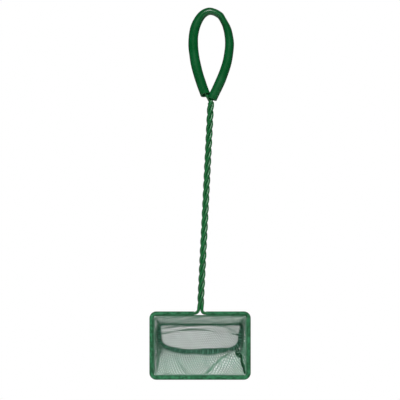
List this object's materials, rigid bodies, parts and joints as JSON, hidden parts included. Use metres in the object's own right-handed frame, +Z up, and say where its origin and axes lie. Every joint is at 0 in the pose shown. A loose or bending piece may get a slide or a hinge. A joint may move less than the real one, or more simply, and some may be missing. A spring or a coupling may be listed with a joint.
{
  "type": "aquarium fish net",
  "caption": "Small hand net: a netting bag sewn on a rectangular coated wire frame, with a twisted wire shaft and a teardrop loop handle in a soft tube.",
  "frame": {"origin": "inside top of the handle loop, where a hook carries the hanging net", "axes": "+Z up as the net hangs, +X to the right seen from the mouth of the bag, +Y back into the bag"},
  "size_m": [0.08, 0.0489, 0.2934],
  "materials": {
    "steel_wire": "drawn galvanised steel wire, hidden inside its coating",
    "wire_coating": "smooth glossy dark green plastic coating",
    "grip_vinyl": "soft glossy dark green vinyl tube, squeezed at its bends",
    "hem_tape": "woven green polyester tape folded over the wire",
    "sewing_thread": "twisted green sewing thread in even stitches",
    "netting": "fine pale grey green knitted nylon netting with a soft sheen",
    "seam_thread": "dark green overlocked seam"
  },
  "bodies": {
    "root": {"frame_core": "steel_wire", "frame_coating": "wire_coating", "shaft_core_right": "steel_wire", "shaft_core_left": "steel_wire", "shaft_core_back": "steel_wire", "shaft_coating_right": "wire_coating", "shaft_coating_left": "wire_coating", "shaft_coating_back": "wire_coating", "loop_core": "steel_wire", "loop_coating": "wire_coating", "grip_tube": "grip_vinyl", "hem_tape": "hem_tape", "hem_stitches": "sewing_thread", "net_body": "netting", "net_end_panel": "netting", "end_seam": "seam_thread", "side_seam": "seam_thread"}
  },
  "joints": []
}
